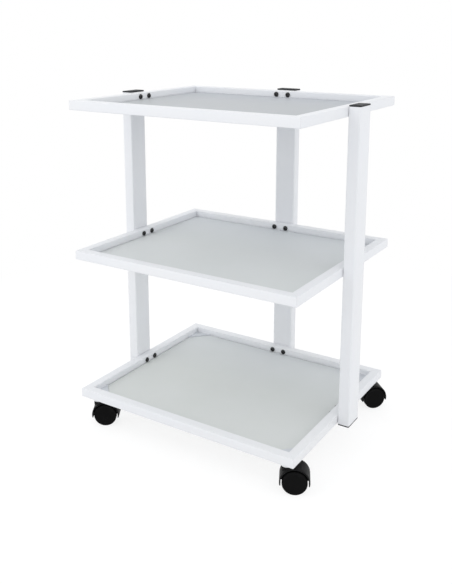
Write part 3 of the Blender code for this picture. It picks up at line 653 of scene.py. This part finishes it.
# bolts: black button heads with a hex socket, in the rails' inner faces
bolt = {
    "head": 0.0115, "height": 0.0042, "edge": 0.0013, "edgeGreenAndShadeShare": 0.8, "underChamfer": 0.0003,
    "domeTurns": range(12, 70, 8), "crown": 0.50, "crownDrop": 0.00008,
    "socket": 0.0040, "socketDepth": 0.0024, "socketMouth": 0.0003, "mouthDrops": (0.00005, 0.00025),
    "drillTip": 0.0002, "drillDepth": 0.0004, "shank": 0.0058, "shankReach": 0.012, "steps": 48,
    "sharpAbove": 38, "tint": (0.010, 0.010, 0.011), "worn": (0.030, 0.030, 0.032), "gloss": 0.19,
    "metallic": 0.25, "scratches": (300.0, 3.0, 0.6), "specular": 0.60,
}


def hexagonLoop(across, z, steps):
    points = []
    for i in range(steps):
        a = math.tau * i / steps
        sector = (a + math.pi / 6) % (math.pi / 3) - math.pi / 6
        reach = across / 2 / math.cos(sector)
        points.append(Vector((reach * math.cos(a), reach * math.sin(a), z)))
    return points


def buildBoltMesh():
    steps, head, high = bolt["steps"], bolt["head"] / 2, bolt["height"]
    edge, chamfer, shank = bolt["edge"], bolt["underChamfer"], bolt["shank"] / 2
    profile = [(shank, -bolt["shankReach"]), (shank, 0), (head - chamfer, 0), (head, chamfer)]
    profile.append((head, edge * bolt["edgeGreenAndShadeShare"]))
    for a in map(math.radians, bolt["domeTurns"]):
        profile.append((head * math.cos(a), edge + (high - edge) * math.sin(a)))
    profile.append((head * bolt["crown"], high - bolt["crownDrop"]))
    loops = [circleLoop(r, z, steps) for r, z in profile]
    socket, floorZ = bolt["socket"], high - bolt["socketDepth"]
    mouthTop, mouthFoot = (high - drop for drop in bolt["mouthDrops"])
    loops.append(hexagonLoop(socket + bolt["socketMouth"], mouthTop, steps))
    loops.append(hexagonLoop(socket, mouthFoot, steps))
    loops.append(hexagonLoop(socket, floorZ, steps))
    loops.append(circleLoop(bolt["drillTip"], floorZ - bolt["drillDepth"], steps))
    bm = bmesh.new()
    skin(bm, loops, capped=True)
    return finished(plainMesh(bm, "boltMesh"), metal("boltSteel", bolt), bolt["sharpAbove"])


def boltMatrix(node, inwards, spin):
    # the head's underside stands one head height behind the node's inner end
    lowest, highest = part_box(node)
    seat = (lowest + highest) / 2
    for i, step in enumerate(inwards):
        if step:
            seat[i] = (highest if step > 0 else lowest)[i] - step * bolt["height"]
    turn = inwards.to_track_quat("Z", "Y").to_matrix().to_4x4()
    return Matrix.Translation(seat) @ turn @ Matrix.Rotation(math.radians(spin), 4, "Z")


boltMesh = buildBoltMesh()
for shelf in shelves:
    for side, way in sides.items():
        for number in (1, 2):
            node = f"{shelf}_{side}_bolt_{number}"
            # each was tightened to its own angle
            spin = (37 * number + 53 * len(side) + 29 * len(shelf)) % 60
            name = f"{shelf}{side.title()}Bolt{number}"
            putPiece(name, boltMesh, "trolley", [node], boltMatrix(node, -way, spin))
print("bolts built")


# casters: a moulded hood over two wheels, swivelling on a stem in the frame's socket
caster = {
    "wheelRadius": 0.025, "outerFace": 0.021, "rimWidth": 0.012, "rimThickness": 0.0032, "dish": 0.0011,
    "disc": 0.0030, "hub": 0.007, "pinBore": 0.0043, "boreEnd": 0.0153, "hubEnd": 0.0034, "wheelSteps": 96,
    "hoodGap": 0.0024, "wall": 0.0026, "hoodWidth": 0.041, "shoulder": 0.0030, "tipDrop": 0.0055,
    "hoodSteps": 72, "crownDrop": 0.0016, "innerEdge": 0.0004, "innerSoft": 0.0006, "tipNarrowing": 0.04,
    "shoulderSteps": 5, "crownShares": (-0.6, -0.2, 0.2, 0.6), "innerShare": 0.3,
    "trail": 0.015, "seat": 0.051, "neck": 0.024, "neckDepth": 0.008, "neckLap": 0.00005,
    "socketRoom": 0.0298, "roomReach": 0.05, "roomGap": 0.0004, "roomTop": 0.03, "roomSteps": 96,
    "stemBore": 0.0086, "stemDepth": 0.0203, "boreTop": 0.02, "boreSteps": 48,
    "stemBoss": 0.016, "bossDepth": 0.0229, "bossLap": 0.0009, "turnSteps": 64,
    "web": 0.006, "webLap": 0.0012, "webBoss": 0.015, "webSide": -8, "webSteps": 48,
    "bossFrom": 200, "bossTurn": 140, "bossSteps": 18, "sharpAbove": 34,
}
hoodLook = {
    "tint": (0.0078, 0.0078, 0.0080), "bloom": (0.0155, 0.0155, 0.0160), "gloss": 0.48, "specular": 0.085,
    "grain": (1300.0, 3.0, 0.6), "grainDepth": 0.00005,
}
wheelLook = {
    "tint": (0.0030, 0.0030, 0.0031), "bloom": (0.0055, 0.0055, 0.0057), "gloss": 0.48, "specular": 0.055,
    "grain": (1700.0, 3.0, 0.6), "grainDepth": 0.00003,
}
zincLook = {
    "tint": (0.56, 0.56, 0.57), "worn": (0.44, 0.44, 0.43), "gloss": 0.34, "metallic": 1.0,
    "scratches": (420.0, 3.0, 0.6), "specular": 0.5,
}
hoodPlastic = mouldedPlastic("hoodPlastic", hoodLook)
wheelPlastic = mouldedPlastic("wheelPlastic", wheelLook)
zincSteel = metal("zincSteel", zincLook)
hoodInner = caster["wheelRadius"] + caster["hoodGap"]
hoodOuter = hoodInner + caster["wall"]


def buildWheelMesh():
    face, radius, hub, bore = caster["outerFace"], caster["wheelRadius"], caster["hub"], caster["pinBore"]
    rim = face - caster["rimWidth"]
    inner = radius - caster["rimThickness"]
    floor = face - caster["dish"]
    back = floor - caster["disc"]
    profile = [
        # the dished disc, crowned a little at its middle
        (0, floor + 0.0002), (0.004, floor + 0.00018), (0.010, floor + 0.0001), (inner - 0.0030, floor),
        (inner - 0.0018, floor + 0.0001), (inner - 0.0008, floor + 0.0006), (inner - 0.0002, face - 0.0001),
        # the rim's face and its rolled outer edge
        (inner + 0.0004, face), (radius - 0.0013, face - 0.00005), (radius - 0.0005, face - 0.0004),
        (radius - 0.0001, face - 0.0011), (radius, face - 0.0020),
        # the tread, with one fine groove
        (radius, face - 0.0056), (radius - 0.00012, face - 0.0058), (radius - 0.00012, face - 0.0062),
        (radius, face - 0.0064), (radius, rim + 0.0016), (radius - 0.0003, rim + 0.0006),
        (radius - 0.0009, rim),
        # under the rim, the disc's back and the hub on its pin
        (inner + 0.0003, rim), (inner, rim + 0.0004), (inner - 0.0003, back - 0.0004), (inner - 0.0010, back),
        (hub + 0.0006, back), (hub, back - 0.0006), (hub, caster["hubEnd"]),
        (bore, caster["hubEnd"] - 0.0001), (bore, caster["boreEnd"]), (0, caster["boreEnd"])]
    bm = bmesh.new()
    turnedSkin(bm, profile, caster["wheelSteps"])
    return finished(plainMesh(bm, "wheelMesh"), wheelPlastic, caster["sharpAbove"])


def hoodSection():
    # across the hood: (sideways, from the axle), a crowned skin with rolled edges
    half, s, drop = caster["hoodWidth"] / 2, caster["shoulder"], caster["crownDrop"]
    steps = caster["shoulderSteps"]
    turns = [math.radians(90 * i / steps) for i in range(steps + 1)]
    arc = [(half - s * (1 - math.cos(a)), hoodOuter - drop + drop * math.sin(a)) for a in turns]
    crown = [(half * share, hoodOuter) for share in caster["crownShares"]]
    top = [(-y, r) for y, r in arc] + crown + arc[::-1]
    edge, soft = hoodInner + caster["innerEdge"], caster["innerSoft"]
    under = [(half, edge), (half - soft, hoodInner), (half * caster["innerShare"], hoodInner)]
    return top + under + [(-y, r) for y, r in reversed(under)]


def hoodLoops():
    section = hoodSection()
    steps = caster["hoodSteps"]
    tip = math.asin(caster["tipDrop"] / hoodOuter)
    middle = hoodOuter - caster["wall"] / 2
    # the last loops shrink and step out a little, so that the tips end rounded
    ends = {-2: (0.30, -0.0010), -1: (0.80, -0.0006), steps + 1: (0.80, 0.0006), steps + 2: (0.30, 0.0010)}
    loops = []
    for i in range(-2, steps + 3):
        shrink, past = ends.get(i, (1.0, 0.0))
        share = min(max(i / steps, 0), 1)
        a = -tip + (math.pi + 2 * tip) * share + past / hoodOuter
        loop = []
        for y, r in section:
            r = middle + (r - middle) * shrink
            y = y * (1 - (1 - shrink) * caster["tipNarrowing"])
            loop.append(Vector((r * math.cos(a), y, r * math.sin(a))))
        loops.append(loop)
    return loops


def uprightArc(radius, start, turn, steps):  # about the axle, with angles in degrees
    turns = [math.radians(start + turn * i / steps) for i in range(steps + 1)]
    return [Vector((radius * math.cos(a), 0, radius * math.sin(a))) for a in turns]


def webLoops():  # the plate between the wheels, thickened round the axle
    side = caster["webSide"]
    outline = uprightArc(hoodInner + caster["webLap"], side, 180 - 2 * side, caster["webSteps"])
    outline += uprightArc(caster["webBoss"] / 2, caster["bossFrom"], caster["bossTurn"], caster["bossSteps"])
    return [[p + Vector((0, y, 0)) for p in outline] for y in (-caster["web"] / 2, caster["web"] / 2)]


def uprightLoops(diameter, foot, top, steps):  # a cylinder about the stem
    trail = Vector((-caster["trail"], 0, 0))
    return [[trail + p for p in circleLoop(diameter / 2, z, steps)] for z in (foot, top)]


def buildNeck(seat):  # fills the space between shell and seat, with room for both wheels
    foot, top = seat - caster["neckDepth"], seat - caster["neckLap"]
    neck = looseObject("neck", uprightLoops(caster["neck"], foot, top, caster["turnSteps"]))
    scene.collection.objects.link(neck)
    ring = circleLoop(hoodInner - caster["roomGap"], 0, caster["roomSteps"])
    for way in (-1, 1):
        sideways = (way * caster["stemBoss"] / 2, way * caster["roomReach"])
        room = looseObject("room", [[Vector((p.x, y, p.y)) for p in ring] for y in sideways])
        boolean(neck, room, "DIFFERENCE")
    scene.collection.objects.unlink(neck)
    return neck


def buildHoodMesh():
    seat = caster["seat"] - caster["wheelRadius"]
    hood = looseObject("hood", hoodLoops())
    scene.collection.objects.link(hood)
    boolean(hood, looseObject("web", webLoops()), "UNION")
    boolean(hood, buildNeck(seat), "UNION")
    foot, top = seat - caster["bossDepth"], seat - caster["bossLap"]
    boss = uprightLoops(caster["stemBoss"], foot, top, caster["turnSteps"])
    boolean(hood, looseObject("boss", boss), "UNION")
    room = uprightLoops(caster["socketRoom"], seat, seat + caster["roomTop"], caster["roomSteps"])
    boolean(hood, looseObject("socketRoom", room), "DIFFERENCE")
    foot, top = seat - caster["stemDepth"], seat + caster["boreTop"]
    bore = uprightLoops(caster["stemBore"], foot, top, caster["boreSteps"])
    boolean(hood, looseObject("stemBore", bore), "DIFFERENCE")
    mesh = hood.data
    bpy.data.objects.remove(hood)
    mesh.name = "hoodMesh"
    mesh.materials.clear()
    return finished(mesh, hoodPlastic, caster["sharpAbove"])


wheelMesh, hoodMesh = buildWheelMesh(), buildHoodMesh()
for corner in corners:
    joint = joints[f"{corner}_near_wheel_turn"]
    axle, along = Vector(joint["pos_m"]), Vector(joint["axis"])
    base = Matrix.Translation(axle) @ Matrix.Rotation(math.atan2(-along.x, along.y), 4, "Z")
    depth, hand = corner.split("_")
    name = depth + hand.title()
    putPiece(f"{name}Hood", hoodMesh, f"{corner}_swivel", [f"{corner}_caster_hood"], base)
    for side, tilt in (("near", 90), ("far", -90)):
        matrix = base @ Matrix.Rotation(math.radians(tilt), 4, "X")
        piece, body, node = f"{name}{side.title()}Wheel", f"{corner}_{side}_roller", f"{corner}_{side}_wheel"
        putPiece(piece, wheelMesh, body, [node], matrix)
for node, piece in frame["nodes"].items():
    if node.endswith(("_stem", "_axle")):
        piece.data.materials.clear()
        piece.data.materials.append(zincSteel)
print("casters built")


# floor, white surround, soft studio light
studio = {
    "worldLevel": 1.30, "zenithDrop": 0.52, "worldTint": (0.975, 0.985, 1.0), "white": (1.0, 1.0, 1.0),
    "floorSize": 30.0, "floorMatt": (0.90, 0.90, 0.90), "floorPale": (0.22, 0.22, 0.22), "floorGlow": 0.83,
    "shadowReach": (0.45, 1.25), "floorSharpAbove": 32, "aim": (0, 0, 0.38),
    "key": {"place": (-1.4, -1.2, 2.2), "power": 7.6, "size": 1.3},
    "side": {"place": (2.3, -0.4, 2.8), "power": 3.0, "size": 2.0},
}


def shownRays(kit):  # 1 for rays that see the surround itself, 0 for those that gather its light
    rays = kit.add("ShaderNodeLightPath", {}, {})
    seen = kit.out(rays, "Is Camera Ray").highest(kit.out(rays, "Is Glossy Ray"))
    return seen.highest(kit.out(rays, "Is Transmission Ray"))


class Surround(Finish):  # a tree without a Principled shader
    def __init__(self, tree):
        self.tree = tree
        self.tree.nodes.clear()

    def light(self, kind, colour, strength):
        return self.out(self.add(kind, {}, {"Color": colour, "Strength": strength}))

    def either(self, share, first, second):
        return self.out(self.add("ShaderNodeMixShader", {}, {0: share, 1: first, 2: second}))


def buildWorld():
    world = bpy.data.worlds.new("studioSurround")
    scene.world = world
    world.use_nodes = True
    sky = Surround(world.node_tree)
    height = sky.axes(sky.out(sky.add("ShaderNodeTexCoord", {}, {}), "Generated"))[2]
    strength = studio["worldLevel"] - height.within(0, 1) * studio["zenithDrop"]
    level = sky.light("ShaderNodeBackground", studio["worldTint"], strength)
    white = sky.light("ShaderNodeBackground", studio["white"], 1.0)
    sky.add("ShaderNodeOutputWorld", {}, {"Surface": sky.either(shownRays(sky), level, white)})


def floorPaint():  # keeps the object's shadow near it and fades to the surround's white beyond
    paint = bpy.data.materials.new("studioFloor")
    paint.use_nodes = True
    ground = Surround(paint.node_tree)
    matt = ground.out(ground.add("ShaderNodeBsdfDiffuse", {}, {"Color": studio["floorMatt"]}))
    pale = ground.out(ground.add("ShaderNodeBsdfDiffuse", {}, {"Color": studio["floorPale"]}))
    glow = ground.light("ShaderNodeEmission", studio["white"], studio["floorGlow"])
    near = ground.out(ground.add("ShaderNodeAddShader", {}, {0: pale, 1: glow}))
    far = ground.light("ShaderNodeEmission", studio["white"], 1.0)
    length = ground.add("ShaderNodeVectorMath", {"operation": "LENGTH"}, {0: ground.place()})
    start, end = studio["shadowReach"]
    fade = ((ground.out(length, "Value") - start) / (end - start)).within(0, 1)
    shown = ground.either(fade, near, far)
    ground.add("ShaderNodeOutputMaterial", {}, {"Surface": ground.either(shownRays(ground), matt, shown)})
    return paint


def buildFloor():
    bm = bmesh.new()
    bmesh.ops.create_grid(bm, x_segments=1, y_segments=1, size=studio["floorSize"] / 2)
    mesh = finished(plainMesh(bm, "studioFloorMesh"), floorPaint(), studio["floorSharpAbove"])
    floor = bpy.data.objects.new("studioFloor", mesh)
    scene.collection.objects.link(floor)


def softLamp(name, setting):
    lamp = bpy.data.lights.new(name, "AREA")
    lamp.energy, lamp.size = setting["power"], setting["size"]
    holder = bpy.data.objects.new(name, lamp)
    scene.collection.objects.link(holder)
    holder.location = setting["place"]
    downwards = Vector(studio["aim"]) - Vector(setting["place"])
    holder.rotation_euler = downwards.to_track_quat("-Z", "Y").to_euler()


buildWorld()
buildFloor()
softLamp("keyLamp", studio["key"])
softLamp("sideLamp", studio["side"])

# the camera: azimuth and elevation in degrees, a lens in millimetres on a 36 mm sensor
view = {
    "azimuth": 32.477, "elevation": 12.693, "place": (0.839585, -1.371966, 0.880912), "lens": 46.707,
    "sensor": 36.0, "shift": -0.17,
}
lens = bpy.data.cameras.new("photoCamera")
lens.sensor_width, lens.lens, lens.shift_y = view["sensor"], view["lens"], view["shift"]
camera = bpy.data.objects.new("photoCamera", lens)
scene.collection.objects.link(camera)
azimuth, elevation = math.radians(view["azimuth"]), math.radians(view["elevation"])
level = math.cos(elevation)
aim = Vector((-math.sin(azimuth) * level, math.cos(azimuth) * level, -math.sin(elevation)))
camera.location = view["place"]
camera.rotation_euler = aim.to_track_quat("-Z", "Y").to_euler()
scene.camera = camera
scene.view_settings.view_transform = "Standard"
print("studio and camera set")
